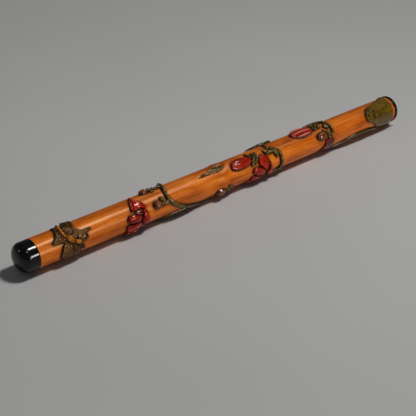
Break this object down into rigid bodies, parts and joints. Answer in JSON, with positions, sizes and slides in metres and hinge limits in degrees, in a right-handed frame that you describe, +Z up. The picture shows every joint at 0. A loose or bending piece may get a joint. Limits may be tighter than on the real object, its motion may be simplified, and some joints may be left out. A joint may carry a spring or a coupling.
{
  "type": "carved bamboo flute",
  "caption": "Side-blown bamboo flute with a dark head cap and foot ring, dressed with carved hardstone flowers, fruit buds, a vine and a moth.",
  "frame": {"origin": "centre of the open foot end, on the bore's axis", "axes": "+X along the bore from the head cap to the foot, +Z up, decorated front towards -Y, finger holes towards +Y"},
  "size_m": [0.4644, 0.0322, 0.0324],
  "materials": {
    "bamboo": "polished",
    "horn": "polished black horn",
    "cork": "cork",
    "red_stone": "polished red hardstone",
    "green_stone": "waxed olive soapstone",
    "brown_stone": "waxed brown soapstone",
    "amber": "polished amber-brown stone",
    "russet_stone": "polished dark russet stone"
  },
  "bodies": {
    "flute": {"tube": "bamboo", "foot_ring": "horn", "moth_forewing_left": "brown_stone", "moth_forewing_right": "brown_stone", "moth_hindwing_right": "brown_stone", "moth_hindwing_left": "brown_stone", "moth_tailwing": "brown_stone", "moth_thorax": "amber", "moth_abdomen": "amber", "moth_head": "amber", "moth_eyes": "horn", "moth_antennae": "brown_stone", "flower1_top_petal": "red_stone", "flower1_bud": "red_stone", "flower1_spine_petal": "red_stone", "flower1_lower_petal": "red_stone", "flower1_bottom_petal": "red_stone", "flower1_under_petal": "red_stone", "flower1_centre": "russet_stone", "flower1_rolled_edge": "red_stone", "flower2_pod": "red_stone", "flower2_right_petal": "red_stone", "flower2_bud": "red_stone", "flower2_lower_petal": "red_stone", "flower2_bottom_petal": "red_stone", "flower2_spine_petal": "red_stone", "flower2_calyx": "green_stone", "flower2_sepals": "green_stone", "flower2_tendrils": "green_stone", "flower2_cross_stem": "green_stone", "flower3_petal": "red_stone", "flower3_under_petal": "red_stone", "flower3_sepals": "green_stone", "flower3_leaf": "green_stone", "flower3_bud": "russet_stone", "flower3_bud_calyx": "green_stone", "flower3_hook_stem": "green_stone", "bud1": "russet_stone", "bud1_calyx": "green_stone", "bud1_stalk": "green_stone", "bud2": "russet_stone", "bud2_calyx": "green_stone", "bud2_stalk": "green_stone", "bud3": "russet_stone", "bud3_calyx": "green_stone", "bud3_stalk": "green_stone", "vine_head_ring": "green_stone", "vine_back_first": "green_stone", "vine_lower_branch": "green_stone", "vine_upper_twig": "green_stone", "vine_mid_ring": "green_stone", "vine_mid_leaf": "green_stone", "vine_back_second": "green_stone", "vine_foot_stem": "green_stone", "foot_leaf": "green_stone", "foot_leaf_knobs": "green_stone"},
    "head_cap": {"head_cap": "horn", "cap_lapping": "cork"},
    "stopper": {"stopper": "cork"}
  },
  "joints": [
    {"name": "head_cap_pull", "type": "slide", "parent": "flute", "child": "head_cap", "axis": [-1, 0, 0], "range_m": [0, 0.03]},
    {"name": "stopper_tune", "type": "slide", "parent": "flute", "child": "stopper", "axis": [1, 0, 0], "range_m": [-0.008, 0.006]}
  ]
}
